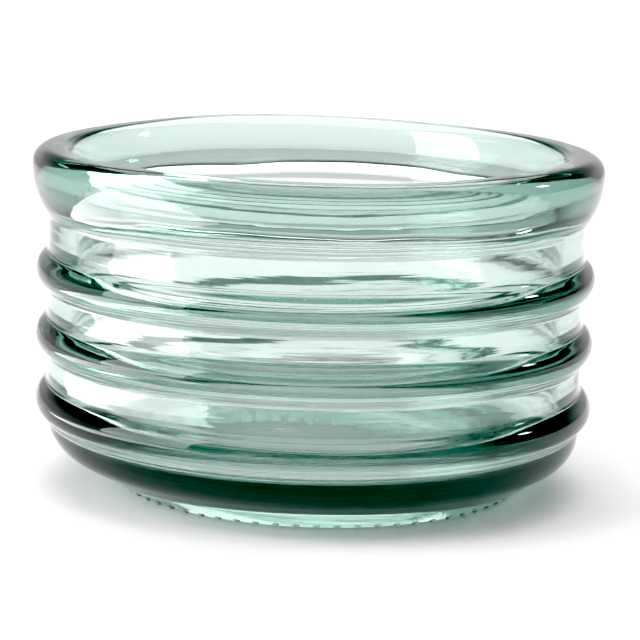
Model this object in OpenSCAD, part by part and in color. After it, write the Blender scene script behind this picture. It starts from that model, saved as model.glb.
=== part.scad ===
// Ribbed glass insulator cup, standing mouth up.
// Each feature that the glassmaker formed is its own closed solid, and neighbours meet face to face.
// The origin is the centre of the plane it stands on; +Z is up.

/* [Overall] */
// Total height from the resting plane to the top of the lip
total_h = 67.8; // [67.8:0.1:74]
// Outer radius of the plain wall between the ribs
wall_r = 53.5; // [52:0.1:54]
// Thickness of the wall
wall_t = 4.2; // [3.6:0.1:5.2]

/* [Rolled lip] */
// How far the lip stands out from the wall
lip_out = 3.5; // [3:0.1:4]
// How far the lip stands into the mouth from the wall
lip_in = 2; // [1.4:0.1:2.5]
// Radius of the long curve on the underside of the lip
lip_under_r = 17; // [15:0.5:18]
// Radius of the outer shoulder at the top of the lip
lip_shoulder_r = 3.4; // [2.5:0.1:4]
// Radius of the inner edge at the top of the lip
lip_edge_r = 3; // [2.5:0.1:3.5]
// Radius of the long curve from the inner edge down to the throat
lip_inner_r = 14; // [12:0.5:20]
// Height of the lip above the straight throat
lip_rise = 7.5; // [7:0.1:8]
// Height of the straight cylindrical throat inside the lip
throat_h = 1; // [1:0.1:1.5]
// Radius of the rounded lower edge of the roll
roll_r = 1.5; // [1:0.1:2]
// Tilt of the underside of the roll; above zero it falls towards the wall
roll_tilt = -5; // [-5:1:20]
// Radius of the flare that the wall makes inside, up to the crease under the roll
flare_r = 5.7; // [5.5:0.1:6.5]
// Radius of the hollow curve where the lip leaves the wall
lip_neck_r = 1.5; // [1:0.1:2]

/* [Ribs] */
// Height of the middle of the lowest rib
first_rib_z = 17; // [17:0.1:17.5]
// Distance from one rib to the next
rib_pitch = 13.2; // [11:0.1:13.5]
// How far a rib stands out from the wall
rib_out = 2.4; // [2:0.1:3]
// Radius of a rib's crest
rib_crest_r = 3.8; // [3:0.1:4]
// Radius of the hollow curves beside a rib
rib_cove_r = 1.5; // [1:0.1:2]
// How deep the bore is drawn out behind a rib
groove_depth = 1.2; // [0.8:0.1:1.7]
// Radius of the narrow bottom of that groove
groove_crest_r = 0.6; // [0.4:0.1:0.8]
// Radius of the swells in the bore beside the groove
groove_swell_r = 5.5; // [4.5:0.1:5.5]

/* [Base] */
// Radius of the rounded heel between the wall and the foot
heel_r = 7.2; // [6.5:0.1:8]
// Height of the cup's floor above the resting plane
floor_z = 11.2; // [10.8:0.1:11.2]
// Radius of the rounded corner between the floor and the wall
floor_corner_r = 1.5; // [1.2:0.1:1.5]
// Height of the hollow under the base
hollow_z = 8.6; // [7.5:0.1:8.8]

/* [Foot] */
// Outer radius of the foot ring at the resting plane, from where it slopes out to the heel
foot_r = 39.2; // [38:0.1:41]
// Width of the foot ring's flat bearing face
foot_w = 2.6; // [2:0.1:8]

/* [Drip points] */
// Number of low glass points around the foot
point_count = 64; // [24:4:80]
// Radius of one point where it meets the foot
point_r = 0.75; // [0.5:0.05:1]
// How far a point stands out from the foot
point_h = 0.35; // [0.2:0.05:0.5]

/* [Hidden] */
$fn = 180;

bore_r = wall_r - wall_t;
lip_r = wall_r + lip_out;
throat_r = bore_r - lip_in;
lip_z = total_h - lip_shoulder_r;
throat_top_z = total_h - lip_rise;
throat_bottom_z = throat_top_z - throat_h;

// The neck curve touches the wall and the underside of the lip
lip_under_x = lip_r - lip_under_r;
neck_dx = wall_r + lip_neck_r - lip_under_x;
neck_dz = sqrt(pow(lip_under_r + lip_neck_r, 2) - pow(neck_dx, 2));
neck_z = lip_z - neck_dz;
neck_touch = lip_under_r / (lip_under_r + lip_neck_r);
neck_touch_x = lip_under_x + neck_dx * neck_touch;
neck_touch_z = lip_z - neck_dz * neck_touch;

// The curve of the inner edge touches the long inner curve
edge_z = total_h - lip_edge_r;
edge_dx = sqrt(pow(lip_inner_r - lip_edge_r, 2) - pow(edge_z - throat_top_z, 2));
edge_x = throat_r + lip_inner_r - edge_dx;
edge_touch = lip_edge_r / (lip_inner_r - lip_edge_r);
edge_touch_x = edge_x - edge_dx * edge_touch;
edge_touch_z = edge_z + (edge_z - throat_top_z) * edge_touch;

// The underside of the roll meets the flare of the wall in a crease
roll_x = throat_r + roll_r;
roll_touch_x = roll_x - roll_r * sin(roll_tilt);
roll_touch_z = throat_bottom_z - roll_r * cos(roll_tilt);
flare_x = bore_r + flare_r;
flare_to_roll = norm([flare_x - roll_touch_x, roll_touch_z - neck_z]);
flare_turn = atan2(roll_touch_z - neck_z, flare_x - roll_touch_x) - roll_tilt;
crease_turn = asin(flare_to_roll * sin(flare_turn) / flare_r) + roll_tilt;
crease_x = flare_x - flare_r * cos(crease_turn);
crease_z = neck_z + flare_r * sin(crease_turn);

// A rib's two coves touch the wall and the crest
rib_x = wall_r + rib_out - rib_crest_r;
cove_dx = wall_r + rib_cove_r - rib_x;
cove_dz = sqrt(pow(rib_crest_r + rib_cove_r, 2) - pow(cove_dx, 2));
cove_touch = rib_crest_r / (rib_crest_r + rib_cove_r);
cove_touch_x = rib_x + cove_dx * cove_touch;

// A groove's two swells touch the bore and the bottom of the groove
groove_x = bore_r + groove_depth - groove_crest_r;
swell_dx = bore_r + groove_swell_r - groove_x;
swell_dz = sqrt(pow(groove_crest_r + groove_swell_r, 2) - pow(swell_dx, 2));
swell_touch = groove_crest_r / (groove_crest_r + groove_swell_r);
swell_touch_x = groove_x + swell_dx * swell_touch;

// The base ends where the corner of its floor meets the wall; the heel begins at the lowest rib's lower edge
base_top_z = floor_z + floor_corner_r;
heel_z = first_rib_z - cove_dz;
heel_centre_r = wall_r - heel_r;

// The foot's slope runs from the resting plane to where it touches the heel's curve
heel_distance = norm([heel_centre_r - foot_r, heel_z]);
foot_slope = atan2(heel_z, heel_centre_r - foot_r) - asin(heel_r / heel_distance);
foot_top_r = heel_centre_r + heel_r * sin(foot_slope);
foot_h = heel_z - heel_r * cos(foot_slope);

glass = [0.72, 0.86, 0.81, 0.55];
thick_glass = [0.16, 0.42, 0.33, 0.8];

// Tube between the base and the lip, with a groove in the bore behind each rib
module side_wall() {
    color(glass)
        difference() {
            translate([0, 0, base_top_z])
                difference() {
                    cylinder(r = wall_r, h = neck_z - base_top_z);
                    translate([0, 0, -1])
                        cylinder(r = bore_r, h = neck_z - base_top_z + 2);
                }
            for (number = [0 : 2])
                translate([0, 0, first_rib_z + number * rib_pitch])
                    rotate_extrude()
                        groove_section();
        }
}

// Outline of a groove about its own middle, drawn from inside the bore
module groove_section() {
    difference() {
        union() {
            translate([groove_x, 0])
                circle(r = groove_crest_r);
            translate([bore_r - 1, -swell_dz])
                square([swell_touch_x - bore_r + 1, 2 * swell_dz]);
        }
        for (side = [-1, 1])
            translate([bore_r + groove_swell_r, side * swell_dz])
                circle(r = groove_swell_r);
    }
}

// Outline of the base: heel outside, cup floor with a rounded corner inside, hollow below
module base_section() {
    difference() {
        translate([0, foot_h])
            square([wall_r, base_top_z - foot_h]);
        translate([-1, 0])
            square([foot_r - foot_w + 1, hollow_z]);
        difference() {
            translate([heel_centre_r, foot_h - 1])
                square([heel_r + 1, heel_z - foot_h + 1]);
            translate([heel_centre_r, heel_z])
                circle(r = heel_r);
        }
        translate([-1, floor_z])
            square([bore_r - floor_corner_r + 1, base_top_z]);
        translate([bore_r - floor_corner_r, base_top_z])
            circle(r = floor_corner_r);
    }
}

module thick_base() {
    color(thick_glass)
        rotate_extrude()
            base_section();
}

// What the round shoulder takes off the lip's outer corner
module shoulder_waste() {
    translate([lip_r - lip_shoulder_r, lip_z])
        difference() {
            square(lip_shoulder_r + 1);
            circle(r = lip_shoulder_r);
        }
}

// What the long curve under the lip takes off, down to where the neck curve begins
module underside_waste() {
    difference() {
        translate([neck_touch_x, neck_touch_z])
            square([lip_r, lip_z - neck_touch_z]);
        translate([lip_under_x, lip_z])
            circle(r = lip_under_r);
    }
}

// What the two inner curves take off between the throat and the top
module inner_waste() {
    difference() {
        polygon([
            [throat_r - 1, throat_top_z],
            [throat_r + 1, throat_top_z],
            [edge_touch_x, edge_touch_z],
            [throat_r - 1, edge_touch_z]
        ]);
        translate([throat_r + lip_inner_r, throat_top_z])
            circle(r = lip_inner_r);
    }
    difference() {
        polygon([
            [throat_r - 1, edge_touch_z],
            [edge_touch_x, edge_touch_z],
            [edge_x, edge_z],
            [edge_x, total_h + 1],
            [throat_r - 1, total_h + 1]
        ]);
        translate([edge_x, edge_z])
            circle(r = lip_edge_r);
    }
}

// What the rounded lower edge of the roll takes off
module roll_waste() {
    difference() {
        polygon([
            [throat_r - 1, throat_bottom_z],
            [roll_x, throat_bottom_z],
            [roll_touch_x, roll_touch_z],
            [throat_r - 1, roll_touch_z + (roll_touch_x - throat_r + 1) * tan(roll_tilt)]
        ]);
        translate([roll_x, throat_bottom_z])
            circle(r = roll_r);
    }
}

// What is open under the roll, inside the flare of the wall
module flare_waste() {
    difference() {
        polygon([
            [throat_r - 1, neck_z - 1],
            [crease_x, neck_z - 1],
            [crease_x, crease_z],
            [throat_r - 1, crease_z + (crease_x - throat_r + 1) * tan(roll_tilt)]
        ]);
        translate([flare_x, neck_z])
            circle(r = flare_r);
    }
}

// Outline of the lip: long underside, round shoulder, curved mouth, throat and the roll above its crease
module lip_section() {
    difference() {
        polygon([
            [throat_r, neck_z],
            [throat_r, total_h],
            [lip_r, total_h],
            [lip_r, neck_touch_z],
            [neck_touch_x, neck_touch_z],
            [neck_touch_x, neck_z]
        ]);
        shoulder_waste();
        inner_waste();
        roll_waste();
        flare_waste();
        underside_waste();
        translate([wall_r + lip_neck_r, neck_z])
            circle(r = lip_neck_r);
    }
}

module rolled_lip() {
    color(glass)
        rotate_extrude()
            lip_section();
}

// Outline of a rib about its own middle: a round crest between two coves
module rib_section() {
    difference() {
        union() {
            translate([rib_x, 0])
                circle(r = rib_crest_r);
            translate([wall_r, -cove_dz])
                square([cove_touch_x - wall_r, 2 * cove_dz]);
        }
        for (side = [-1, 1])
            translate([wall_r + rib_cove_r, side * cove_dz])
                circle(r = rib_cove_r);
        translate([0, -2 * rib_crest_r])
            square([wall_r, 4 * rib_crest_r]);
    }
}

// Rib number 0 is the lowest
module rib(number) {
    color(glass)
        translate([0, 0, first_rib_z + number * rib_pitch])
            rotate_extrude()
                rib_section();
}

module lower_rib() {
    rib(0);
}

module middle_rib() {
    rib(1);
}

module upper_rib() {
    rib(2);
}

// Ring that the cup stands on, with the hollow under the base inside it
module foot_ring() {
    color(glass)
        difference() {
            cylinder(r1 = foot_r, r2 = foot_top_r, h = foot_h);
            translate([0, 0, -1])
                cylinder(r = foot_r - foot_w, h = foot_h + 2);
        }
}

// Row of low round points on the foot's slope, just above the resting plane
module drip_points() {
    color(glass)
        for (turn = [0 : point_count - 1])
            rotate([0, 0, turn * 360 / point_count])
                drip_point();
}

// The flat side of the rounded cap rests against the slope
module drip_point() {
    ball_r = (point_r * point_r + point_h * point_h) / (2 * point_h);
    height = ball_r - (ball_r - point_h) * cos(foot_slope);
    translate([foot_r + height / tan(foot_slope), 0, height])
        rotate([0, 180 - foot_slope, 0])
            rotate_extrude()
                intersection() {
                    translate([0, point_h - ball_r])
                        circle(r = ball_r);
                    square(point_r + 1);
                }
}

side_wall();
thick_base();
rolled_lip();
upper_rib();
middle_rib();
lower_rib();
foot_ring();
drip_points();
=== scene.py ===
import math

import bpy
import numpy as np
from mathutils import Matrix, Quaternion, Vector


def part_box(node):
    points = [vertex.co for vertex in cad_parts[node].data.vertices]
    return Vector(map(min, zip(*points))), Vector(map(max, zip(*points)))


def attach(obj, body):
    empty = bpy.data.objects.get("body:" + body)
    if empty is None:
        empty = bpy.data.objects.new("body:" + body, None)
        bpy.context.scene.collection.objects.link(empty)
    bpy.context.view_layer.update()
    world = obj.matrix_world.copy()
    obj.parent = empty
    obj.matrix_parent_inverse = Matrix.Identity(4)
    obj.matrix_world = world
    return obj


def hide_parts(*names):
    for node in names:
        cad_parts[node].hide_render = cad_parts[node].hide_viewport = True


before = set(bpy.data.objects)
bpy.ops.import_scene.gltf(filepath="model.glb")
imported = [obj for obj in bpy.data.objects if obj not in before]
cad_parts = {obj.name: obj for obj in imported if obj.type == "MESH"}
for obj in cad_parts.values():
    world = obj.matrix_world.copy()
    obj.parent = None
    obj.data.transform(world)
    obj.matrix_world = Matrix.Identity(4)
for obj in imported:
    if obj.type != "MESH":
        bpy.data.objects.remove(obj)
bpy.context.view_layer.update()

MM = 0.001

# Sizes that the frame gives
WALL_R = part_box("side_wall")[1].x
BASE_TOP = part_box("side_wall")[0].z
NECK_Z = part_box("side_wall")[1].z
TOP_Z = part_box("rolled_lip")[1].z
LIP_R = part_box("rolled_lip")[1].x
FOOT_TOP_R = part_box("foot_ring")[1].x
FOOT_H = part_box("foot_ring")[1].z
RIBS = ("lower_rib", "middle_rib", "upper_rib")


def nearest_to_axis(node):
    """Least distance of a node's points from the axis."""
    return min(math.hypot(v.co.x, v.co.y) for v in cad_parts[node].data.vertices)


BORE_R = nearest_to_axis("side_wall")
THROAT_R = nearest_to_axis("rolled_lip")
FOOT_IN_R = nearest_to_axis("foot_ring")
FOOT_R = max(
    math.hypot(v.co.x, v.co.y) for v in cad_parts["foot_ring"].data.vertices if v.co.z < 0.1 * MM
)
FOOT_SLOPE = math.atan2(FOOT_H, FOOT_TOP_R - FOOT_R)

# Radii of the round parts of the section, as the CAD model has them
LIP_UNDER_R = 17 * MM
LIP_SHOULDER_R = 3.4 * MM
LIP_INNER_R = 14 * MM
LIP_EDGE_R = 3 * MM
LIP_NECK_R = 1.5 * MM
LIP_Z = TOP_Z - LIP_SHOULDER_R
THROAT_TOP = 60.3 * MM
THROAT_BOTTOM = 59.3 * MM
ROLL_R = 1.5 * MM
ROLL_TILT = -5
FLARE_R = 5.7 * MM
RIB_CREST_R = 3.8 * MM
RIB_COVE_R = 1.5 * MM
GROOVE_DEPTH = 1.2 * MM
GROOVE_CREST_R = 0.6 * MM
GROOVE_COVE_R = 5.5 * MM
HEEL_R = 7.2 * MM
FLOOR_CORNER_R = 1.5 * MM
FLOOR_Z = BASE_TOP - FLOOR_CORNER_R
FOOT_EDGE_R = 0.8 * MM
HOLLOW_Z = 8.6 * MM
HOLLOW_CORNER_R = 1 * MM
POINT_R = 0.75 * MM
POINT_H = 0.35 * MM
POINT_COUNT = 64

# How finely the meshes are made, and how far pieces of the same glass stand into each other
SEGMENTS = 384
PITCH = 0.7 * MM
ARC_STEP = 9
OVERLAP = 0.02 * MM

# The foot stands this far to the right of the axis, easing to nothing at this height
FOOT_SHIFT = 1.3 * MM
SHIFT_TOP = 14 * MM

# Glass: index of refraction on open faces, and on the joined ones, which bend no light
OPEN_IOR = 1.5
JOINED_IOR = 1
GLASS_ROUGHNESS = 0.03
CORD_DEPTH = 0.03 * MM
ABSORB_DENSITY = 58
ABSORB_COLOUR = (0.0, 0.38, 0.28, 1)


def arc(cx, cz, radius, start, end):
    """Points on an arc about (cx, cz), from one angle in degrees to the other."""
    steps = max(3, round(abs(end - start) / ARC_STEP))
    angles = [math.radians(start + (end - start) * i / steps) for i in range(steps + 1)]
    return [(cx + radius * math.cos(a), cz + radius * math.sin(a)) for a in angles]


def line(start, end):
    """Points on a straight run, about PITCH apart."""
    steps = max(1, math.ceil(math.dist(start, end) / PITCH))
    return [
        (start[0] + (end[0] - start[0]) * i / steps, start[1] + (end[1] - start[1]) * i / steps)
        for i in range(steps + 1)
    ]


# A section is a list of (points, joined) runs, anticlockwise about the glass; a joined run lies against
# another piece of the same glass, so light goes straight through it.


def joint_run(start, end, inward):
    """A joined run that stands OVERLAP into the neighbour, stepped in at both ends."""
    along = Vector((end[0] - start[0], end[1] - start[1])).normalized() * OVERLAP
    push = Vector(inward) * OVERLAP
    first = (start[0] + along.x + push.x, start[1] + along.y + push.y)
    last = (end[0] - along.x + push.x, end[1] - along.y + push.y)
    return [([start] + line(first, last) + [end], True)]


def rib_half_height():
    crest_x = rib_crest_x()
    return math.sqrt((RIB_CREST_R + RIB_COVE_R) ** 2 - (WALL_R + RIB_COVE_R - crest_x) ** 2)


def rib_crest_x():
    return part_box("lower_rib")[1].x - RIB_CREST_R


def rib_z(node):
    low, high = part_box(node)
    return (low.z + high.z) / 2


def wall_section():
    half = rib_half_height()
    runs = joint_run((BORE_R, BASE_TOP), (WALL_R, BASE_TOP), (0, -1))
    z = BASE_TOP
    for node in RIBS:
        low, high = rib_z(node) - half, rib_z(node) + half
        if low - z > OVERLAP:
            runs.append((line((WALL_R, z), (WALL_R, low)), False))
        runs.append((line((WALL_R, max(low, z)), (WALL_R, high)), True))
        z = high
    runs.append((line((WALL_R, z), (WALL_R, NECK_Z)), False))
    runs += joint_run((WALL_R, NECK_Z), (BORE_R, NECK_Z), (0, 1))
    inner = []
    z = NECK_Z
    for node in reversed(RIBS):
        mid = rib_z(node)
        inner += line((BORE_R, z), (BORE_R, mid + groove_half_height()))[:-1] + groove(mid)[:-1]
        z = mid - groove_half_height()
    inner += line((BORE_R, z), (BORE_R, BASE_TOP))
    runs.append((inner, False))
    return runs


def groove_half_height():
    rise = GROOVE_COVE_R + GROOVE_CREST_R - GROOVE_DEPTH
    return math.sqrt((GROOVE_CREST_R + GROOVE_COVE_R) ** 2 - rise ** 2)


def groove(z):
    """The hollow in the bore behind a rib, from its upper edge to its lower one."""
    half = groove_half_height()
    lean = math.degrees(math.atan2(half, GROOVE_COVE_R + GROOVE_CREST_R - GROOVE_DEPTH))
    return (
        arc(BORE_R + GROOVE_COVE_R, z + half, GROOVE_COVE_R, 180, 180 + lean)[:-1]
        + arc(BORE_R + GROOVE_DEPTH - GROOVE_CREST_R, z, GROOVE_CREST_R, lean, -lean)[:-1]
        + arc(BORE_R + GROOVE_COVE_R, z - half, GROOVE_COVE_R, 180 - lean, 180)
    )


def base_section():
    heel_z = rib_z("lower_rib") - rib_half_height()
    corner_r = BORE_R - FLOOR_CORNER_R
    hollow = (
        line((0, HOLLOW_Z), (FOOT_IN_R - HOLLOW_CORNER_R, HOLLOW_Z))[:-1]
        + arc(FOOT_IN_R - HOLLOW_CORNER_R, HOLLOW_Z - HOLLOW_CORNER_R, HOLLOW_CORNER_R, 90, 0)[:-1]
        + line((FOOT_IN_R, HOLLOW_Z - HOLLOW_CORNER_R), (FOOT_IN_R, FOOT_H))
    )
    return [
        (hollow, False),
        (line((FOOT_IN_R, FOOT_H), (FOOT_TOP_R, FOOT_H)), True),
        (arc(WALL_R - HEEL_R, heel_z, HEEL_R, math.degrees(FOOT_SLOPE) - 90, 0), False),
        (line((WALL_R, heel_z), (WALL_R, BASE_TOP)), True),
        (line((WALL_R, BASE_TOP), (BORE_R, BASE_TOP)), True),
        (
            arc(corner_r, BASE_TOP, FLOOR_CORNER_R, 0, -90)[:-1] + line((corner_r, FLOOR_Z), (0, FLOOR_Z)),
            False,
        ),
    ]


def lip_section():
    under_x = LIP_R - LIP_UNDER_R
    neck_dx = WALL_R + LIP_NECK_R - under_x
    neck_dz = LIP_Z - NECK_Z
    touch = math.degrees(math.atan2(-neck_dz, neck_dx))
    edge_dz = TOP_Z - LIP_EDGE_R - THROAT_TOP
    edge_dx = math.sqrt((LIP_INNER_R - LIP_EDGE_R) ** 2 - edge_dz ** 2)
    edge_x = THROAT_R + LIP_INNER_R - edge_dx
    lean = math.degrees(math.atan2(edge_dz, edge_dx))
    tilt = math.radians(ROLL_TILT)
    roll_end = (THROAT_R + ROLL_R * (1 - math.sin(tilt)), THROAT_BOTTOM - ROLL_R * math.cos(tilt))
    flare_x = BORE_R + FLARE_R
    rise, run = roll_end[1] - NECK_Z, flare_x - roll_end[0]
    opening = tilt + math.asin(math.hypot(rise, run) * math.sin(math.atan2(rise, run) - tilt) / FLARE_R)
    crease = (flare_x - FLARE_R * math.cos(opening), NECK_Z + FLARE_R * math.sin(opening))
    outside = (
        arc(WALL_R + LIP_NECK_R, NECK_Z, LIP_NECK_R, 180, 180 + touch)[:-1]
        + arc(under_x, LIP_Z, LIP_UNDER_R, touch, 0)[:-1]
        + arc(LIP_R - LIP_SHOULDER_R, LIP_Z, LIP_SHOULDER_R, 0, 90)
        + arc(edge_x, TOP_Z - LIP_EDGE_R, LIP_EDGE_R, 90, 180 - lean)[:-1]
        + arc(THROAT_R + LIP_INNER_R, THROAT_TOP, LIP_INNER_R, 180 - lean, 180)[:-1]
        + line((THROAT_R, THROAT_TOP), (THROAT_R, THROAT_BOTTOM))[:-1]
        + arc(THROAT_R + ROLL_R, THROAT_BOTTOM, ROLL_R, 180, 270 - ROLL_TILT)[:-1]
        + line(roll_end, crease)[:-1]
        + arc(flare_x, NECK_Z, FLARE_R, 180 - math.degrees(opening), 180)
    )
    return [(line((BORE_R, NECK_Z), (WALL_R, NECK_Z)), True), (outside, False)]


def rib_section(node):
    z, half, crest_x = rib_z(node), rib_half_height(), rib_crest_x()
    lean = math.degrees(math.atan2(half, WALL_R + RIB_COVE_R - crest_x))
    outside = (
        arc(WALL_R + RIB_COVE_R, z - half, RIB_COVE_R, 180, 180 - lean)[:-1]
        + arc(crest_x, z, RIB_CREST_R, -lean, lean)[:-1]
        + arc(WALL_R + RIB_COVE_R, z + half, RIB_COVE_R, 180 + lean, 180)
    )
    return [(outside, False)] + joint_run((WALL_R, z + half), (WALL_R, z - half), (-1, 0))


def foot_section():
    edge = FOOT_EDGE_R
    slope = math.degrees(FOOT_SLOPE)
    toe_r = FOOT_R - edge * math.tan(FOOT_SLOPE / 2)
    toe_end = (toe_r + edge * math.sin(FOOT_SLOPE), edge - edge * math.cos(FOOT_SLOPE))
    open_face = (
        line((FOOT_IN_R, FOOT_H), (FOOT_IN_R, edge))[:-1]
        + arc(FOOT_IN_R + edge, edge, edge, 180, 270)[:-1]
        + line((FOOT_IN_R + edge, 0), (toe_r, 0))[:-1]
        + arc(toe_r, edge, edge, -90, slope - 90)[:-1]
        + line(toe_end, (FOOT_TOP_R, FOOT_H))
    )
    return [(open_face, False)] + joint_run((FOOT_TOP_R, FOOT_H), (FOOT_IN_R, FOOT_H), (0, 1))


def waves(angle, terms):
    """A sum of cosines round the axis; each term is (waves per turn, size, phase)."""
    return sum(size * np.cos(count * angle + phase) for count, size, phase in terms)


def handmade(points):
    """Moves points as the hand-finished glass strays from a true round shape; wave sizes are in mm."""
    x, y, z = points.T
    radius = np.hypot(x, y)
    angle = np.arctan2(y, x)
    height = z / TOP_Z
    outside = np.clip((radius - BORE_R) / (WALL_R - BORE_R), 0, 1)
    rim = np.clip((z - NECK_Z) / (TOP_Z - NECK_Z), 0, 1)
    inner = waves(angle + 2.2 * height, [(2, 0.10, 0.4), (3, 0.12, 2.1), (5, 0.05, 4.0), (8, 0.02, 1.0)])
    outer = waves(angle - 1.5 * height, [(2, 0.16, 1.2), (3, 0.08, 5.1), (4, 0.05, 0.3), (7, 0.02, 2.0)])
    ring_lines = 0.006 * np.sin(z / MM * 1.3 + 1.5 * np.cos(angle * 2 + 1)) + 0.003 * np.sin(
        z / MM * 2.9 + 2 * np.cos(angle * 3)
    )
    out = ((1 - outside) * inner + outside * outer + ring_lines) * np.clip(radius / BORE_R, 0, 1) ** 2
    lift = waves(angle, [(2, 0.12, 2.4), (3, 0.20, 0.9), (5, 0.10, 3.3), (9, 0.03, 0.7)]) * rim
    fold = np.clip(1 - np.abs(z / MM - 58.3) / 3, 0, 1) * np.clip((52 - radius / MM) / 2, 0, 1)
    lift += waves(angle, [(4, 0.30, 1.1), (7, 0.18, 2.6), (11, 0.12, 0.2), (19, 0.05, 4.4)]) * fold
    fade = np.clip((z - FOOT_H) / (8 * MM), 0, 1)
    scale = 1 + out * MM * fade / np.maximum(radius, MM)
    low = np.clip(1 - z / SHIFT_TOP, 0, 1)
    shift = FOOT_SHIFT * low * low * (3 - 2 * low)
    return np.column_stack([x * scale + shift, y * scale, z + lift * MM])


def lathe(name, runs):
    """A closed piece turned from a section about the axis."""
    rings, joined = [], []
    for points, is_joined in runs:
        rings += points[:-1]
        joined += [is_joined] * (len(points) - 1)
    open_ended = rings[0][0] == 0
    if open_ended:
        rings.append(runs[-1][0][-1])
    turn = np.arange(SEGMENTS) * 2 * math.pi / SEGMENTS
    vertices, first = [], []
    for radius, z in rings:
        first.append(len(vertices))
        if radius == 0:
            vertices.append((0, 0, z))
        else:
            vertices += [(radius * c, radius * s, z) for c, s in zip(np.cos(turn), np.sin(turn))]
    faces, marks = [], []
    count = len(rings)
    for i in range(count - 1 if open_ended else count):
        j = (i + 1) % count
        a, b = first[i], first[j]
        for k in range(SEGMENTS):
            n = (k + 1) % SEGMENTS
            if rings[i][0] == 0:
                face = (a, b + n, b + k)
            elif rings[j][0] == 0:
                face = (a + k, a + n, b)
            else:
                face = (a + k, a + n, b + n, b + k)
            faces.append(face)
            marks.append(joined[i])
    mesh = bpy.data.meshes.new(name)
    mesh.from_pydata(handmade(np.array(vertices)).tolist(), [], faces)
    mesh.attributes.new("joined", "FLOAT", "FACE").data.foreach_set("value", np.array(marks, np.float32))
    mesh.shade_smooth()
    mark_sharp(mesh, marks)
    piece = bpy.data.objects.new(name, mesh)
    bpy.context.scene.collection.objects.link(piece)
    return piece


def mark_sharp(mesh, marks):
    """Edges between a joined face and an open one are sharp, so that neither bends the other's normals."""
    sides = {}
    for polygon, mark in zip(mesh.polygons, marks):
        for key in polygon.edge_keys:
            sides.setdefault(key, set()).add(mark)
    sharp = [len(sides[tuple(sorted(edge.vertices))]) > 1 for edge in mesh.edges]
    mesh.attributes.new("sharp_edge", "BOOLEAN", "EDGE").data.foreach_set("value", sharp)


def drip_points():
    """Low round points on the foot's slope."""
    vertices, faces = [], []
    ball_r = (POINT_R ** 2 + POINT_H ** 2) / (2 * POINT_H)
    height = ball_r - (ball_r - POINT_H) * math.cos(FOOT_SLOPE)
    centre_r = FOOT_R + height / math.tan(FOOT_SLOPE)
    spread = math.asin(POINT_R / ball_r)
    rows, columns = 6, 16
    for number in range(POINT_COUNT):
        turn = 2 * math.pi * number / POINT_COUNT
        start = len(vertices)
        for row in range(rows + 1):
            lean = spread * row / rows
            for column in range(columns if row else 1):
                around = 2 * math.pi * column / columns
                proud = POINT_H - ball_r * (1 - math.cos(lean)) - OVERLAP
                side = ball_r * math.sin(lean) * math.cos(around)
                along = ball_r * math.sin(lean) * math.sin(around)
                out = centre_r + proud * math.sin(FOOT_SLOPE) + along * math.cos(FOOT_SLOPE)
                z = height - proud * math.cos(FOOT_SLOPE) + along * math.sin(FOOT_SLOPE)
                vertices.append((
                    out * math.cos(turn) - side * math.sin(turn),
                    out * math.sin(turn) + side * math.cos(turn),
                    z,
                ))
        for column in range(columns):
            after = (column + 1) % columns
            faces.append((start, start + 1 + column, start + 1 + after))
            for row in range(1, rows):
                a, b = start + 1 + (row - 1) * columns, start + 1 + row * columns
                faces.append((a + column, b + column, b + after, a + after))
        last = start + 1 + (rows - 1) * columns
        faces.append([last + column for column in reversed(range(columns))])
    mesh = bpy.data.meshes.new("glass_drip_points")
    mesh.from_pydata(handmade(np.array(vertices)).tolist(), [], faces)
    mesh.shade_smooth()
    mesh.set_sharp_from_angle(angle=math.radians(30))
    piece = bpy.data.objects.new("glass_drip_points", mesh)
    bpy.context.scene.collection.objects.link(piece)
    return piece


def glass():
    """Clear glass that takes its green from the length of the path through it, with faint cords."""
    material = bpy.data.materials.new("aqua_glass")
    material.use_nodes = True
    nodes, links = material.node_tree.nodes, material.node_tree.links
    shader = nodes["Principled BSDF"]
    shader.inputs["Base Color"].default_value = (0.985, 0.985, 0.985, 1)
    shader.inputs["Transmission Weight"].default_value = 1
    shader.inputs["Roughness"].default_value = GLASS_ROUGHNESS
    position = nodes.new("ShaderNodeTexCoord")
    stretch = nodes.new("ShaderNodeMapping")
    stretch.inputs["Scale"].default_value = (25, 25, 420)
    links.new(position.outputs["Object"], stretch.inputs["Vector"])
    cords = nodes.new("ShaderNodeTexNoise")
    cords.inputs["Scale"].default_value = 1
    cords.inputs["Detail"].default_value = 3
    links.new(stretch.outputs[0], cords.inputs["Vector"])
    bump = nodes.new("ShaderNodeBump")
    bump.inputs["Strength"].default_value = 1
    bump.inputs["Distance"].default_value = CORD_DEPTH
    links.new(cords.outputs["Fac"], bump.inputs["Height"])
    links.new(bump.outputs[0], shader.inputs["Normal"])
    mark = nodes.new("ShaderNodeAttribute")
    mark.attribute_name = "joined"
    bend = nodes.new("ShaderNodeMath")
    bend.operation = "MULTIPLY_ADD"
    bend.inputs[1].default_value = JOINED_IOR - OPEN_IOR
    bend.inputs[2].default_value = OPEN_IOR
    links.new(mark.outputs["Fac"], bend.inputs[0])
    links.new(bend.outputs[0], shader.inputs["IOR"])
    depth = nodes.new("ShaderNodeVolumeAbsorption")
    depth.inputs["Density"].default_value = ABSORB_DENSITY
    depth.inputs["Color"].default_value = ABSORB_COLOUR
    links.new(depth.outputs[0], nodes["Material Output"].inputs["Volume"])
    return material


glass_material = glass()

pieces = {
    "side_wall": lathe("glass_side_wall", wall_section()),
    "thick_base": lathe("glass_thick_base", base_section()),
    "rolled_lip": lathe("glass_rolled_lip", lip_section()),
    "foot_ring": lathe("glass_foot_ring", foot_section()),
    "drip_points": drip_points(),
}
for rib in RIBS:
    pieces[rib] = lathe("glass_" + rib, rib_section(rib))

for node, piece in pieces.items():
    piece.data.materials.append(glass_material)
    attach(piece, "root")
    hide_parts(node)

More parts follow.
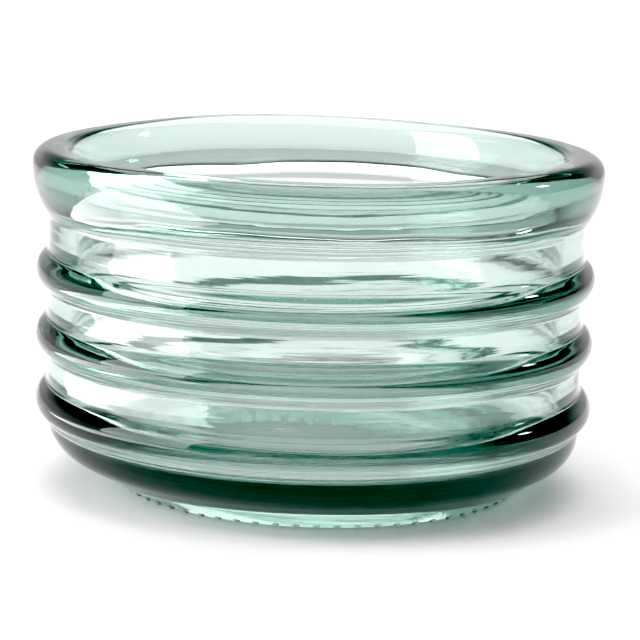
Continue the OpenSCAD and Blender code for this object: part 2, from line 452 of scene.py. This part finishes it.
# Floor: a white table that ends where the lights still reach it
floor_mesh = bpy.data.meshes.new("floor")
floor_corners = [(-0.95, -1.6, 0), (1.8, -1.6, 0), (1.8, 1.65, 0), (-0.95, 1.65, 0)]
floor_mesh.from_pydata(floor_corners, [], [(0, 1, 2, 3)])
floor = bpy.data.objects.new("floor", floor_mesh)
bpy.context.scene.collection.objects.link(floor)
floor_paint = bpy.data.materials.new("floor_paint")
floor_paint.use_nodes = True
floor_shader = floor_paint.node_tree.nodes["Principled BSDF"]
floor_shader.inputs["Base Color"].default_value = (0.92, 0.885, 0.89, 1)
floor_shader.inputs["Roughness"].default_value = 1
floor_shader.inputs["Specular IOR Level"].default_value = 0
floor_mesh.materials.append(floor_paint)
floor.location.z = -0.05 * MM

# World: a dark room, pale near the horizon behind the cup and to its left
world = bpy.data.worlds.new("studio")
world.use_nodes = True
nodes, links = world.node_tree.nodes, world.node_tree.links
direction = nodes.new("ShaderNodeTexCoord")
toward = nodes.new("ShaderNodeVectorMath")
toward.operation = "DOT_PRODUCT"
toward.inputs[1].default_value = (-0.5, 0.866, 0)
links.new(direction.outputs["Generated"], toward.inputs[0])
near = nodes.new("ShaderNodeMapRange")
near.inputs["From Min"].default_value = 0.05
near.inputs["From Max"].default_value = 0.42
links.new(toward.outputs["Value"], near.inputs["Value"])
split = nodes.new("ShaderNodeSeparateXYZ")
links.new(direction.outputs["Generated"], split.inputs[0])
low_down = nodes.new("ShaderNodeMapRange")
low_down.inputs["From Min"].default_value = 0.42
low_down.inputs["From Max"].default_value = 0.16
links.new(split.outputs["Z"], low_down.inputs["Value"])
bright = nodes.new("ShaderNodeMath")
bright.operation = "MULTIPLY"
links.new(near.outputs[0], bright.inputs[0])
links.new(low_down.outputs[0], bright.inputs[1])
backdrop = nodes.new("ShaderNodeMix")
backdrop.data_type = "RGBA"
backdrop.inputs["A"].default_value = (0.06, 0.06, 0.06, 1)
backdrop.inputs["B"].default_value = (0.88, 0.84, 0.85, 1)
links.new(bright.outputs[0], backdrop.inputs["Factor"])
links.new(backdrop.outputs["Result"], nodes["Background"].inputs["Color"])
bpy.context.scene.world = world


def area(name, place, aim, size, strength):
    """A rectangular light; strength is its radiance."""
    data = bpy.data.lights.new(name, "AREA")
    data.shape = "RECTANGLE"
    data.size, data.size_y = size
    data.energy = strength * size[0] * size[1] * math.pi
    light = bpy.data.objects.new(name, data)
    light.location = place
    light.rotation_euler = (Vector(aim) - Vector(place)).to_track_quat("-Z", "Y").to_euler()
    bpy.context.scene.collection.objects.link(light)
    return light


def polar(azimuth, distance, z):
    """A point at an azimuth in degrees from the camera's side, positive to the right."""
    a = math.radians(azimuth)
    return Vector((distance * math.sin(a), -distance * math.cos(a), z))


# Lights: a softbox overhead, a tall window and a low panel on the left, a small lamp on the right
area("softbox", Vector((0, 0.6, 1.3)), Vector((0, 0.6, 0)), (1.5, 3.2), 2.7)
area("window", polar(-71, 1.0, 0.62), polar(-71, 0, 0.62), (0.75, 1.2), 5)
low = area("low_panel", polar(-72, 0.31, 0.002), polar(-72, 0.31, 1), (0.42, 0.17), 6)
low.rotation_euler = (math.radians(180), 0, math.radians(-90 - 72))
area("lamp", polar(104, 0.9, 0.5), (0, 0, 0.05), (0.1, 0.1), 25)

# Camera, fitted to the outline of the cup
LENS_MM = 153.8
ROLL_DEG = 1.44
camera_data = bpy.data.cameras.new("camera")
camera_data.sensor_width = 36
camera_data.lens = LENS_MM
camera = bpy.data.objects.new("camera", camera_data)
bpy.context.scene.collection.objects.link(camera)
camera.location = (0, -0.542, 0.136)
aim = Vector((0.001, 0, 0.0327))
track = (aim - camera.location).to_track_quat("-Z", "Y")
camera.rotation_mode = "QUATERNION"
camera.rotation_quaternion = track @ Quaternion((0, 0, 1), math.radians(ROLL_DEG))
bpy.context.scene.camera = camera

# View and light bounces
scene = bpy.context.scene
scene.view_settings.view_transform = "Standard"
scene.view_settings.use_curve_mapping = True
scene.view_settings.curve_mapping.black_level = (0.058, 0.045, 0.05)
scene.view_settings.curve_mapping.update()
scene.cycles.max_bounces = 48
scene.cycles.transmission_bounces = 48
scene.cycles.glossy_bounces = 16
scene.cycles.diffuse_bounces = 4
scene.cycles.transparent_max_bounces = 32
